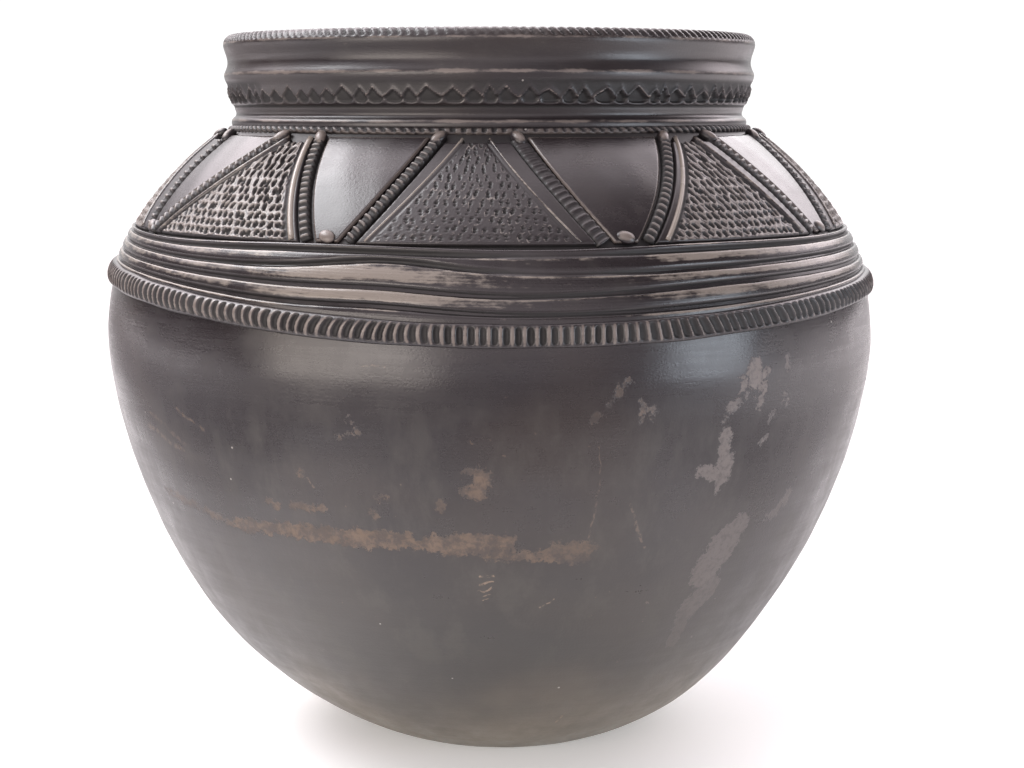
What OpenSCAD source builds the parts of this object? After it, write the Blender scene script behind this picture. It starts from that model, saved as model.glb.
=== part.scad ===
/* [Body] */
// Outside radius at the widest place
body_r = 200; // [190:1:210]
// Height of the widest place above the ground
belly_z = 207; // [200:1:214]
// Radius of the flat spot that the pot stands on
foot_r = 68; // [58:1:78]
// Thickness of the wall
wall_t = 9; // [8:0.5:11]
// Thickness of the floor
floor_t = 12; // [10:0.5:15]

/* [Neck] */
// Height at which the shoulder meets the neck
shoulder_z = 318; // [314:1:322]
// Outside radius of the neck at its foot
neck_r = 132; // [128:1:136]
// How far the thin ridge at the neck's foot stands out
foot_ridge_h = 1.5; // [1:0.5:2.5]
// Height of that ridge's face
foot_ridge_w = 2; // [1.5:0.5:3]
// Height of the sharp ridge round the neck
ridge_z = 342; // [340:1:345]
// Height of the sharp ridge's face
ridge_w = 2; // [1.5:0.5:3]
// Outside radius of the sharp ridge
ridge_r = 138; // [136:0.5:140]
// Depth of the hollow between the ridge and the lip
hollow_d = 2.2; // [1:0.2:3]
// Outside radius of the lip
lip_r = 138.5; // [136:0.5:142]
// Height of the lip's rounded edge
lip_w = 6.5; // [5:0.5:8]
// Height of the whole pot
height = 363; // [360:1:368]

/* [Zigzag band] */
// Height of the zigzag band under the sharp ridge
zigzag_w = 13; // [11:0.5:14]
// Number of teeth in each row of the zigzag band
zigzag_count = 96; // [72:4:120]
// Depth of the zigzag carving
zigzag_d = 2; // [1:0.5:3]

/* [Neck cordon] */
// Height of the notched cordon at the foot of the neck
neck_cordon_w = 5; // [4:0.5:6]
// How far the neck cordon stands out from the neck
neck_cordon_h = 4.5; // [4:0.5:6]
// Number of notches in the neck cordon
neck_notch_count = 180; // [120:10:200]
// Depth of those notches
neck_notch_d = 1.5; // [1:0.5:2]

/* [Shoulder] */
// Number of carved triangles round the shoulder
unit_count = 9; // [7:1:9]
// Turn of the first triangle from the front, in degrees
unit_turn = -1; // [-5:0.5:5]
// Half the spread of a triangle's straps at their top, in degrees
strap_top_half = 5.5; // [5:0.5:6.5]
// Half the spread of a triangle's straps at their foot, in degrees
strap_foot_half = 17.5; // [16.5:0.5:18]
// Width of a ladder strap
strap_w = 6; // [5:0.5:7]
// Height of a ladder strap over the shoulder
strap_h = 3.5; // [2.5:0.5:4]
// Number of rungs on a ladder strap
rung_count = 14; // [10:1:16]
// Depth of the notches between the rungs
rung_d = 1.6; // [1:0.2:2]
// Turn between a strap and the fillet inside it, in degrees
fillet_turn = 3; // [2.5:0.5:4]
// Width of the smooth fillet inside each strap
fillet_w = 2.6; // [2:0.2:3]
// Height of the fillet over the shoulder
fillet_h = 1.8; // [1:0.2:2.4]
// Radius of the clay pellets at the ends of the straps
pellet_r = 4.5; // [3.5:0.5:5]

/* [Punch marks] */
// Number of rows of punch marks in a triangle
row_count = 8; // [4:1:9]
// Pitch of the punch marks along a row
mark_pitch = 5.5; // [4.5:0.5:7]
// Height of the marks over the shoulder
mark_h = 1.4; // [1:0.2:2]
// Height of a row of marks
mark_w = 2.4; // [2:0.2:3]
// Turn between the foot of a strap and the nearest marks, in degrees
mark_side = 5; // [4.5:0.5:7]

/* [Ribs] */
// Height of the top of the ribs, where the carved shoulder ends
rib_top_z = 265; // [263:1:267]
// Number of flat ribs
rib_count = 4; // [3:1:5]
// Height of a rib over the body
rib_h = 1.6; // [1:0.2:2.4]
// Width of the grooves between the ribs, at their bottom
rib_gap = 0.6; // [0.4:0.1:1.2]

/* [Cordon] */
// Height of the middle of the notched cordon
cordon_z = 234; // [231:1:236]
// Height of the cordon's band
cordon_w = 11; // [9:0.5:12]
// How far the cordon stands out from the body
cordon_h = 4.5; // [3.5:0.5:6]
// Depth of the finger notches
notch_d = 2.4; // [1:0.2:2.8]
// Number of notches in the cordon
notch_count = 240; // [160:10:260]

/* [Hidden] */
// Exponents of the two curves of the profile, below and above the widest place
low_bow = 1.56;
low_round = 2.4;
high_bow = 2.26;
high_round = 1.4;
low_steps = 20;
high_steps = 10;
// How far applied clay reaches under the surface that carries it
bury = 2;
// Seam between neighbouring bands of the profile
seam = 0.2;
// Slope at each edge of the zigzag band and above the foot ridge
edge = 0.6;
foot_slope = 1;
// Least height left under a notch
web = 0.3;
// How far the notched roll stays inside the cordon's band at each side
cordon_edge = 1.4;
// How far the zigzag teeth stand over the neck's own line, and the gap between their two rows
zigzag_tip = 0.4;
zigzag_gap = 0.5;
// Gap between the straps and the bands above and below them
strap_gap = 1;
fillet_parts = 4;
// Space over the top row of marks, and half the spread of that row in degrees
mark_margin = 3;
mark_top_half = 1;
// Height over the shoulder's foot at which the inside of the neck begins to widen
neck_inner_rise = 6;

function mix(a, b, t) = a + (b - a) * t;
function unit(v) = v / norm(v);

// Radius of a curve that is widest, r, at the belly and end_r at the height end_z
function bow_r(z, r, end_r, end_z, bow, round) = let (
    reach = (1 - (end_r / r) ^ round) ^ (1 / bow),
    t = reach * (z - belly_z) / (end_z - belly_z))
    r * (1 - abs(t) ^ bow) ^ (1 / round);
function low_r(z, r, end_r, end_z) = bow_r(z, r, end_r, end_z, low_bow, low_round);
function high_r(z, r, end_r, end_z) = bow_r(z, r, end_r, end_z, high_bow, high_round);
function body_at(z) = z < belly_z
    ? low_r(z, body_r, foot_r, 0)
    : high_r(z, body_r, neck_r, shoulder_z);

// A point on the body at an angle from the front, and the body's outward direction there
function on_body(az, z) = [body_at(z) * sin(az), -body_at(z) * cos(az), z];
function out_of_body(az, z) = unit([sin(az), -cos(az), body_at(z - 0.5) - body_at(z + 0.5)]);

cordon_low = cordon_z - cordon_w / 2;
cordon_high = cordon_z + cordon_w / 2;
rib_pitch = (rib_top_z - cordon_high) / rib_count;

// A raised band in the profile, with a slope over a sixth of its height at each edge
function band(z, w, h) = [
    [body_at(z - w / 2), z - w / 2],
    [body_at(z - w / 3) + h, z - w / 3],
    [body_at(z + w / 3) + h, z + w / 3],
    [body_at(z + w / 2), z + w / 2]];

// The profile from the ground up: bare body, the cordon's band, the ribs, then the shoulder
body_line = concat(
    [for (i = [0:low_steps]) let (z = cordon_low * i / low_steps) [body_at(z), z]],
    band(cordon_z, cordon_w - seam, cordon_h - notch_d - web),
    [for (k = [0:rib_count - 1]) let (z = cordon_high + rib_pitch * (k + 0.5))
        each band(z, rib_pitch - rib_gap, rib_h)],
    [for (i = [0:high_steps]) let (z = mix(rib_top_z, shoulder_z - strap_gap, i / high_steps))
        [body_at(z), z]]);

zigzag_high = ridge_z - ridge_w;
zigzag_low = zigzag_high - zigzag_w;
lip_z = height - lip_w;
function neck_at(z) = mix(neck_r, ridge_r, (z - shoulder_z) / (ridge_z - shoulder_z));
neck_line = concat([
    [neck_r + foot_ridge_h, shoulder_z + seam],
    [neck_r + foot_ridge_h, shoulder_z + foot_ridge_w],
    [neck_r, shoulder_z + foot_ridge_w + foot_slope],
    [neck_at(zigzag_low), zigzag_low],
    [neck_at(zigzag_low) - zigzag_d, zigzag_low + edge],
    [neck_at(zigzag_high) - zigzag_d, zigzag_high - edge],
    [ridge_r, zigzag_high],
    [ridge_r, ridge_z]],
    [for (t = [0.25:0.25:0.75])
        [mix(ridge_r, lip_r, t) - hollow_d * sin(180 * t), mix(ridge_z, lip_z, t)]],
    [for (a = [0:30:180]) [lip_r - wall_t * (1 - cos(a)) / 2, lip_z + lip_w * sin(a)]]);

// The inside follows the outside at the wall's thickness, and starts a little lower on the slope
inner_top_z = shoulder_z - wall_t / 3;
inner_line = concat(
    [[neck_r - wall_t, shoulder_z + neck_inner_rise]],
    [for (i = [high_steps:-1:1]) let (z = mix(belly_z, inner_top_z, i / high_steps))
        [high_r(z, body_r - wall_t, neck_r - wall_t, inner_top_z), z]],
    [for (i = [low_steps:-1:0]) let (z = mix(floor_t, belly_z, i / low_steps))
        [low_r(z, body_r - wall_t, foot_r - wall_t / 2, floor_t), z]]);

module turned_body() {
    rotate_extrude()
        polygon(concat([[0, 0]], body_line, neck_line, inner_line, [[0, floor_t]]));
}

// A flat ring with a toothed edge: profile gives one tooth, as [share of the pitch, depth under the tip]
module notched_ring(z, w, tip_r, profile, count, turn = 0) {
    deepest = max([for (p = profile) p[1]]);
    outline = [for (i = [0:count - 1], p = profile) [tip_r - p[1], turn + (i + p[0]) * 360 / count]];
    translate([0, 0, z - w / 2]) linear_extrude(w) difference() {
        polygon([for (p = outline) p[0] * [cos(p[1]), sin(p[1])]]);
        circle(tip_r - deepest - bury);
    }
}

// A flat tip over half the pitch and a V-shaped notch over the rest, as a finger nail leaves it
function nail_notch(depth) = [[0, 0], [0.5, 0], [0.75, depth]];

module cordon() {
    notched_ring(cordon_z, cordon_w - 2 * cordon_edge, body_at(cordon_z) + cordon_h, nail_notch(notch_d),
        notch_count);
}

module neck_cordon() {
    notched_ring(shoulder_z - neck_cordon_w / 2, neck_cordon_w, neck_r + neck_cordon_h,
        [[0, 0], [0.7, neck_notch_d]], neck_notch_count);
}

// Two rows of pointed teeth, the upper one turned by half a tooth
module zigzag_band() {
    row_w = zigzag_w / 2 - zigzag_gap;
    for (row = [0, 1]) {
        z = zigzag_low + zigzag_w * (row + 0.5) / 2;
        notched_ring(z, row_w, neck_at(z) + zigzag_tip, [[0, 0], [0.5, zigzag_d]], zigzag_count,
            row * 180 / zigzag_count);
    }
}

// A strip of applied clay laid along the shoulder: its long section, in the plane of its length and the
// outward direction, is widened sideways. The top follows the body, with notches between its rungs.
module strip(az0, z0, az1, z1, w, h, rungs, depth) {
    a = on_body(az0, z0);
    b = on_body(az1, z1);
    along = unit(b - a);
    rough = out_of_body((az0 + az1) / 2, (z0 + z1) / 2);
    side = unit(cross(along, rough));
    up = cross(side, along);
    marks = [for (i = [0:rungs - 1], p = nail_notch(depth)) [(i + p[0]) / rungs, p[1]]];
    top = [for (m = concat(marks, [[1, 0]])) let (
            q = on_body(mix(az0, az1, m[0]), mix(z0, z1, m[0])) - a)
        [q * along, q * up + h - m[1]]];
    multmatrix([
        [along[0], up[0], side[0], a[0] - side[0] * w / 2],
        [along[1], up[1], side[1], a[1] - side[1] * w / 2],
        [along[2], up[2], side[2], a[2] - side[2] * w / 2]])
        linear_extrude(w) polygon(concat([[norm(b - a), -bury], [0, -bury]], top));
}

strap_top_z = shoulder_z - neck_cordon_w - strap_gap;
strap_foot_z = rib_top_z + strap_gap;

// One side of a triangle: the ladder strap, and the smooth fillet that runs inside it
module straps(side) {
    top = side * strap_top_half;
    foot = side * strap_foot_half;
    inwards = side * fillet_turn;
    strip(top, strap_top_z, foot, strap_foot_z, strap_w, strap_h, rung_count, rung_d);
    strip(top - inwards, strap_top_z, foot - inwards, strap_foot_z, fillet_w, fillet_h, fillet_parts, 0);
}

module pellets() {
    translate(on_body(strap_top_half, strap_top_z)) sphere(pellet_r);
    translate(on_body(-strap_top_half, strap_top_z)) sphere(pellet_r);
    translate(on_body(180 / unit_count, strap_foot_z + strap_gap)) sphere(pellet_r);
}

// A row of punch marks: one flat ring whose edge stands out, toothed, inside each triangle only
module mark_row(k) {
    t = (k + 0.5) / row_count;
    z = mix(strap_foot_z, strap_top_z - mark_margin, t);
    half = mix(strap_foot_half - mark_side, mark_top_half, t);
    r = body_at(z);
    arc = 2 * half * r * PI / 180;
    n = max(2, round(arc / mark_pitch));
    outline = [for (u = [0:unit_count - 1]) let (mid = unit_turn - 90 + 360 * u / unit_count) each concat(
        [[r - bury, mid - half]],
        [for (i = [0:n - 1], p = [[0.3, mark_h], [0.8, web]])
            [r + p[1], mid + half * ((i + p[0]) * 2 / n - 1)]],
        [[r - bury, mid + half]])];
    translate([0, 0, z - mark_w / 2]) linear_extrude(mark_w) difference() {
        polygon([for (p = outline) p[0] * [cos(p[1]), sin(p[1])]]);
        circle(r - 2 * bury);
    }
}

module pot() {
    color([0.25, 0.22, 0.23]) union() {
        turned_body();
        cordon();
        neck_cordon();
        zigzag_band();
        for (k = [0:row_count - 1]) mark_row(k);
        for (u = [0:unit_count - 1]) rotate(unit_turn + 360 * u / unit_count) {
            straps(-1);
            straps(1);
            pellets();
        }
    }
}

pot();
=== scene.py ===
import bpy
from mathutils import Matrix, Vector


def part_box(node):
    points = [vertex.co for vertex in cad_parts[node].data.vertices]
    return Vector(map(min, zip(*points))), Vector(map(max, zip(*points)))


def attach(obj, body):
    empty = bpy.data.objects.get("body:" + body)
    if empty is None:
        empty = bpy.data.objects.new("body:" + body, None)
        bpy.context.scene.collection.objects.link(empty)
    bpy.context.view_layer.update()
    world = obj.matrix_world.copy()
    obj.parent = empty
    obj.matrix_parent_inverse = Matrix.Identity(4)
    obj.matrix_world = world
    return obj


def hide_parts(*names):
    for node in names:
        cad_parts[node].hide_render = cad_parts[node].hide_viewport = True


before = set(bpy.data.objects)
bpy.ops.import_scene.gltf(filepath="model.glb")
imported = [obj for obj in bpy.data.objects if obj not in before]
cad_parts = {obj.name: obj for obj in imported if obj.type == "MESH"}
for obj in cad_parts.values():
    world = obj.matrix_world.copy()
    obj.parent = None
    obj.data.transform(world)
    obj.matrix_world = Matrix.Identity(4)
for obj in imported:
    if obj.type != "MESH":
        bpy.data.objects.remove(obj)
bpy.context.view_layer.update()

import math

import bpy
import numpy as np

# The wall of the pot. One wall of clay, built up and turned by hand, scraped thin and left a little uneven,
# then rubbed smooth with a pebble and blackened in a smoky fire. The rounded base has a small flat spot.
MM = 0.001
belly_radius = 200.0
belly_height = 207.0
foot_radius = 68.0
neck_radius = 132.0
shoulder_height = 318.0
lower_curve = (1.56, 2.4)
upper_curve = (2.26, 1.4)
wall_thickness = 9.0
floor_thickness = 12.0
carved_from = 252.0
carved_to = 262.0
carved_depth = 1.5
base_lean = 6.0
base_lean_height = 70.0
wall_columns = 440
wall_step = 2.7
inside_step = 12.0
carved_shade = 0.33


def bowed(z, widest, end_radius, end_height, bow, roundness):
    """Radius of a curve through the belly and an end: the widest radius times (1 - t^bow)^(1/roundness),
    where t is the share of the way from the belly, scaled so that the end has its own radius."""
    reach = (1 - (end_radius / widest) ** roundness) ** (1 / bow)
    t = np.clip(np.abs(reach * (z - belly_height) / (end_height - belly_height)), 0, 1)
    return widest * (1 - t ** bow) ** (1 / roundness)


def wall_radius(z):
    """Outside radius at a height: one bowed curve down to the foot and another up to the neck."""
    lower = bowed(z, belly_radius, foot_radius, 0, *lower_curve)
    upper = bowed(z, belly_radius, neck_radius, shoulder_height, *upper_curve)
    return np.where(z < belly_height, lower, upper)


def smooth_step(low, high, x):
    """0 below low, 1 above high and 3t^2 - 2t^3 between them."""
    t = np.clip((x - low) / (high - low), 0, 1)
    return t * t * (3 - 2 * t)


def unevenness(turn, z):
    """How far the hand-shaped wall swells out, in mm: three slow waves and three short ones."""
    a = np.radians(turn)
    slow = 0.24 * np.sin(2 * a + 0.7) + 0.2 * np.sin(3 * a - z / 45) + 0.13 * np.sin(5 * a + z / 32 + 1.9)
    short = 0.06 * np.sin(17 * a + z / 9) + 0.04 * np.sin(29 * a - z / 6.1 + 0.6)
    return slow + short + 0.05 * np.sin(z / 3.3 + 2 * np.sin(a + 1))


def turned(turn, radius, z, lean=0.0):
    """Points at a turn from the front in degrees, a radius and a height, moved by lean to the right."""
    a = np.radians(turn)
    return np.stack(np.broadcast_arrays(radius * np.sin(a) + lean, -radius * np.cos(a), z), axis=-1)


def on_pot(turn, z, out):
    """Points at a turn from the front in degrees, a height, and a distance out along the wall's normal."""
    turn, z, out = np.broadcast_arrays(*(np.asarray(value, float) for value in (turn, z, out)))
    slope = wall_radius(z + 0.5) - wall_radius(z - 0.5)
    length = np.hypot(slope, 1)
    radius = wall_radius(z) + unevenness(turn, z) + out / length
    lean = base_lean * (1 - smooth_step(0, base_lean_height, z))
    return turned(turn, radius, z - out * slope / length, lean)


def full_turn(columns):
    """A row of even turns all the way round, from -180 degrees at the back."""
    return (np.arange(columns) * 360 / columns - 180)[None]


def even_steps(r, z, step):
    """Heights and radii along a line at an even step, by its length."""
    length = np.concatenate([[0], np.cumsum(np.hypot(np.diff(r), np.diff(z)))])
    at = np.linspace(0, length[-1], max(2, round(length[-1] / step)))
    return np.interp(at, length, r), np.interp(at, length, z)


def grid_faces(rows, columns, rows_close, columns_close, first):
    """Faces of a grid of points: four neighbours each, and one flat face at each end that doesn't close."""
    index = first + np.arange(rows * columns).reshape(rows, columns)
    low, high = (index, np.roll(index, -1, 0)) if rows_close else (index[:-1], index[1:])
    if columns_close:
        low_next, high_next = np.roll(low, -1, 1), np.roll(high, -1, 1)
    else:
        low, low_next, high, high_next = low[:, :-1], low[:, 1:], high[:, :-1], high[:, 1:]
    faces = np.stack([low, low_next, high_next, high], axis=-1).reshape(-1, 4).tolist()
    if not rows_close:
        faces += [index[0, ::-1].tolist(), index[-1].tolist()]
    if not columns_close:
        faces += [index[:, 0].tolist(), index[::-1, -1].tolist()]
    return faces


def clay(name, parts, finish, rows_close=True, columns_close=False, marks=("relief",)):
    """One piece of clay from grids of points in mm. Each part is its points and, for each name in marks, a
    number for every point, which the finish reads."""
    faces = []
    first = 0
    for part in parts:
        rows, columns = part[0].shape[:2]
        faces += grid_faces(rows, columns, rows_close, columns_close, first)
        first += rows * columns
    points = np.concatenate([part[0].reshape(-1, 3) for part in parts]) * MM
    mesh = bpy.data.meshes.new(name)
    mesh.from_pydata(points.tolist(), [], faces)
    for k, mark in enumerate(marks):
        values = np.concatenate([np.broadcast_to(part[k + 1], part[0].shape[:2]).ravel() for part in parts])
        attribute = mesh.attributes.new(mark, "FLOAT", "POINT")
        attribute.data.foreach_set("value", values.astype(np.float32))
    mesh.polygons.foreach_set("use_smooth", np.ones(len(mesh.polygons), bool))
    mesh.materials.append(finish)
    mesh.update()
    piece = bpy.data.objects.new(name, mesh)
    bpy.context.scene.collection.objects.link(piece)
    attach(piece, "root")
    return piece


def add(tree, kind, inputs=(), **settings):
    """One shader node: settings are its own values, and inputs its sockets, each a number or a link."""
    made = tree.nodes.new(kind)
    for key, value in settings.items():
        setattr(made, key, value)
    for key, value in dict(inputs).items():
        if isinstance(value, bpy.types.NodeSocket):
            tree.links.new(value, made.inputs[key])
        else:
            made.inputs[key].default_value = value
    return made


def maths(tree, operation, a, b=0.0, c=0.0):
    """One sum on numbers: MULTIPLY_ADD is a times b plus c."""
    return add(tree, "ShaderNodeMath", {0: a, 1: b, 2: c}, operation=operation).outputs[0]


def vectors(tree, operation, a, b, answer="Vector"):
    """One sum on two vectors, or for SCALE on a vector and a number. The answer is a Vector or a Value."""
    made = add(tree, "ShaderNodeVectorMath", {0: a, "Scale" if operation == "SCALE" else 1: b},
               operation=operation)
    return made.outputs[answer]


def vary(tree, value, pattern, amount):
    """value plus amount times (pattern - 0.5), where value is a number or a link."""
    half = amount / 2
    low = value - half if isinstance(value, float) else maths(tree, "SUBTRACT", value, half)
    return maths(tree, "MULTIPLY_ADD", pattern, amount, low)


def fade(tree, value, low, high, at_low=0.0, at_high=1.0):
    """A smooth step from at_low to at_high as value goes from low to high."""
    step = add(tree, "ShaderNodeMapRange", {"Value": value, "From Min": low, "From Max": high,
                                            "To Min": at_low, "To Max": at_high},
               interpolation_type="SMOOTHSTEP")
    return step.outputs["Result"]


def blend_colour(tree, share, a, b):
    """Colour a where share is 0 and colour b where it is 1."""
    made = add(tree, "ShaderNodeMix", data_type="RGBA")
    for socket, value in ((made.inputs["Factor"], share), (made.inputs["A"], a), (made.inputs["B"], b)):
        if isinstance(value, bpy.types.NodeSocket):
            tree.links.new(value, socket)
        else:
            socket.default_value = value
    return made.outputs["Result"]


def noise(tree, place, scale, detail=3.0, stretch=(1, 1, 1), roughness=0.55):
    """Noise on the object's own coordinates in metres, squeezed along each axis by stretch."""
    moved = add(tree, "ShaderNodeMapping", {"Vector": place, "Scale": stretch}).outputs["Vector"]
    made = add(tree, "ShaderNodeTexNoise", {"Vector": moved, "Scale": scale, "Detail": detail,
                                            "Roughness": roughness})
    return made.outputs["Fac"]


smoked = (0.0150, 0.0105, 0.0123, 1)
smoked_brown = (0.0250, 0.0175, 0.0163, 1)
smoked_blue = (0.0150, 0.0130, 0.0168, 1)
ashy = (0.094, 0.090, 0.075, 1)
dust_and_bounce_light = (0.270, 0.220, 0.155, 1)
bare_clay = (0.152, 0.106, 0.074, 1)
bare_brown = (0.076, 0.058, 0.048, 1)
bare_grey = (0.180, 0.155, 0.142, 1)
# Painted shade for hollows, then painted highlight colours for ridges, partly the pale of rubbing wear
hollow_shade = (0.005, 0.004, 0.004, 1)
rubbed_highlight = (0.210, 0.176, 0.155, 1)
pale_rubbed_highlight = (0.300, 0.262, 0.225, 1)
grey_rubbed_highlight = (0.250, 0.222, 0.203, 1)
scratched = (0.30, 0.215, 0.15, 1)
chalk = (0.42, 0.40, 0.37, 1)
grain_height = 0.0005
sheen = 0.8


def burnished(name, roughness, rubbed_highlight_share=0.5, worn=None, brushed=0.7, shine=rubbed_highlight):
    """Smoke-blackened, burnished clay: slow clouds of brown and blue-black, fine strokes round the pot, as
    strong as brushed says, and a few white specks. Hollows get painted shade, and ridges are painted
    towards the colour shine by the rubbed share, partly rubbing wear and partly painted highlight. worn is
    a function that adds a piece's wear to colour, roughness and height."""
    material = bpy.data.materials.new(name)
    material.use_nodes = True
    tree = material.node_tree
    surface = tree.nodes["Principled BSDF"]
    place = add(tree, "ShaderNodeTexCoord").outputs["Object"]

    # Brown and blue-black clouds with a little ash in them
    clouds = noise(tree, place, 9.0, 4.0)
    blue = noise(tree, place, 6.0, 2.0, (1, 1, 1.7))
    mottle = noise(tree, place, 55.0, 5.0, roughness=0.65)
    colour = blend_colour(tree, fade(tree, clouds, 0.42, 0.64), smoked, smoked_brown)
    colour = blend_colour(tree, fade(tree, blue, 0.5, 0.66, 0, 0.7), colour, smoked_blue)
    colour = blend_colour(tree, fade(tree, mottle, 0.5, 0.8, 0, 0.15), colour, ashy)

    # The strokes of the pebble, in how rough and how high the surface is
    strokes = noise(tree, place, 60.0, 3.0, (0.35, 0.35, 5.0))
    fine_strokes = noise(tree, place, 60.0, 2.0, (0.6, 0.6, 18.0))
    grain = noise(tree, place, 900.0, 2.0)
    rough = vary(tree, roughness, strokes, 0.26 * brushed)
    rough = vary(tree, rough, mottle, 0.22)
    rough = vary(tree, rough, fine_strokes, 0.14 * brushed)
    height = maths(tree, "MULTIPLY_ADD", strokes, 0.5 * brushed, maths(tree, "MULTIPLY", grain, 0.35))
    height = maths(tree, "MULTIPLY_ADD", fine_strokes, 0.25 * brushed, height)
    if worn:
        colour, rough, height = worn(tree, place, clouds, colour, rough, height)

    # Painted shade in the hollows, and painted highlight on the ridges with breaks, partly rubbing wear
    relief = add(tree, "ShaderNodeAttribute", attribute_name="relief").outputs["Fac"]
    hollow = fade(tree, relief, -0.05, -0.75)
    broken = noise(tree, place, 320.0, 4.0, (0.5, 0.5, 1.5), roughness=0.65)
    raised = maths(tree, "MULTIPLY_ADD", mottle, 0.6, relief)
    ridge = fade(tree, maths(tree, "MULTIPLY_ADD", broken, 1.1, raised), 1.05, 1.5, 0, rubbed_highlight_share)
    colour = blend_colour(tree, hollow, colour, hollow_shade)
    colour = blend_colour(tree, ridge, colour, shine)
    rough = maths(tree, "MULTIPLY_ADD", hollow, 0.3, rough)

    # White specks of dust, in some of the cells of a scattered pattern
    specks = add(tree, "ShaderNodeTexVoronoi", {"Vector": place, "Scale": 60.0}).outputs
    chosen = add(tree, "ShaderNodeSeparateXYZ", {"Vector": specks["Color"]}).outputs["X"]
    speck = fade(tree, specks["Distance"], 0.04, 0.028, 0, 0.8)
    dust = maths(tree, "MULTIPLY", speck, fade(tree, chosen, 0.6, 0.62))
    colour = blend_colour(tree, dust, colour, chalk)
    rough = add(tree, "ShaderNodeClamp", {"Value": rough, "Min": 0.12, "Max": 0.9}).outputs[0]
    bump = add(tree, "ShaderNodeBump", {"Height": height, "Strength": 0.35, "Distance": grain_height})
    tree.links.new(colour, surface.inputs["Base Color"])
    tree.links.new(rough, surface.inputs["Roughness"])
    tree.links.new(bump.outputs["Normal"], surface.inputs["Normal"])
    surface.inputs["Specular IOR Level"].default_value = sheen
    return material


# Each bare place is a soft-ended stripe: turn and height of its two ends, its half width in mm, and how
# much of the black has gone there. The long broken band was rubbed off by the ring that the pot stood in,
# and the rest has flaked.
bare_stripes = [
    (-58, 141, -50, 137, 2.2, 0.45), (-51, 138, -42, 132.5, 2.0, 0.5), (-40, 132.4, -30, 133.6, 3.4, 0.9),
    (-30, 133.6, -20, 132.6, 4.3, 1.0), (-20, 132.5, -11.8, 133, 4.6, 1.0),
    (-11.8, 131.4, -8.5, 130.4, 2.6, 1.0), (-8, 132.2, 2.6, 132.5, 4.4, 1.0),
    (-6.2, 129.4, -3, 129.2, 3.0, 1.0), (-0.8, 127.0, 9.6, 124.8, 2.7, 0.9),
    (9, 128.8, 14.4, 128.6, 3.8, 0.7), (10, 124.4, 13.8, 124.2, 3.2, 0.6),
    (-32.8, 146.2, -30.9, 145.6, 2.1, 0.75), (-28.7, 146.2, -23.4, 146.0, 1.7, 0.85),
    (-16.2, 145.9, -15.6, 144.8, 2.0, 0.7), (-15.4, 153.6, -13.8, 153.8, 1.2, 0.6),
    (-26.4, 163, -25.9, 161.4, 1.7, 0.7), (-18.8, 189.5, -18.4, 188.9, 1.5, 0.5),
    (-17.8, 183.3, -17.2, 183.9, 2.1, 0.55), (-20.1, 180.9, -19.6, 180.6, 1.4, 0.5),
    (-1.2, 163.0, -1.5, 157.5, 4.6, 0.9), (-3.4, 157.2, -2.2, 156.9, 2.6, 0.9),
    (-3.2, 166.6, -1.0, 168.6, 1.9, 0.6), (-6.8, 150.9, -6.5, 150.3, 2.9, 0.5),
    (37.1, 209.0, 37.3, 201.6, 4.6, 1.0), (39.2, 206.5, 39.0, 196.5, 2.6, 1.0),
    (34.9, 203.6, 35.4, 200.8, 2.4, 1.0), (38.4, 195.6, 38.5, 189.2, 1.9, 0.9),
    (34.2, 193.6, 33.2, 190.0, 2.4, 0.8), (32.9, 188.6, 32.3, 185.6, 1.3, 0.7),
    (36.2, 195.6, 35.8, 193.8, 1.8, 0.6), (33.1, 178.4, 33.7, 166.0, 3.8, 0.85),
    (34.4, 167.6, 34.4, 158.5, 3.3, 0.85), (30.0, 162.6, 33.4, 158.6, 3.6, 0.8),
    (33.4, 156.4, 33.7, 153.6, 2.6, 0.75), (19.7, 197.8, 19.8, 189.3, 1.4, 0.75),
    (20.1, 195.6, 21.3, 194.4, 1.7, 0.7), (21.5, 193.8, 21.5, 189.2, 1.3, 0.7),
    (15.5, 197.3, 16.9, 204.5, 1.9, 0.5), (17.4, 208.0, 17.6, 206.5, 1.8, 0.5),
    (12.8, 188.4, 14.0, 192.0, 1.7, 0.35), (43.5, 212.0, 43.6, 207.2, 2.1, 0.75),
    (43.4, 193.4, 44.2, 190.4, 1.6, 0.7), (42.0, 186.0, 41.0, 184.0, 1.5, 0.5),
    (40.6, 175.0, 39.9, 172.2, 1.6, 0.7), (49.8, 142.6, 49.4, 139.8, 3.6, 0.5),
    (46.2, 132.8, 48.4, 135.0, 2.4, 0.45), (39.6, 131.5, 38.6, 127.0, 6.6, 0.55),
    (37.9, 124.0, 35.6, 110.5, 9.5, 0.55), (37.6, 99.5, 35.8, 91.5, 7.5, 0.42),
    (34.8, 88.0, 35.2, 72.0, 4.5, 0.28), (142, 150, 150, 156, 4.0, 0.7), (-128, 128, -112, 131, 3.4, 0.8),
    (96, 133, 109, 129, 3.0, 0.7), (168, 96, 171, 82, 5.0, 0.6), (-95, 186, -93, 178, 3.0, 0.7),
    (-158, 205, -157, 197, 3.4, 0.8), (78, 102, 84, 96, 4.4, 0.5), (-76, 92, -72, 84, 3.6, 0.5),
    (125, 196, 126, 191, 2.4, 0.8), (-176, 131, -140, 129, 2.2, 0.6), (112, 130, 124, 132.5, 3.4, 0.75),
]
no_bare_place = -9.0
ragged_edge = 13.0
# Where ash, dust and the even sheen end and where the bare clay turns grey, in metres up or to the right.
# The ash and dust towards the foot are partly painted light bounced up from the floor.
ash_and_bounce_ends = (0.16, -0.03)
dust_and_bounce_ends = (0.02, -0.05)
sheen_ends = (0.21, 0.17)
grey_starts = (0.055, 0.09)
ash_and_bounce_share = 0.36
dust_and_bounce_share = 0.5
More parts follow.
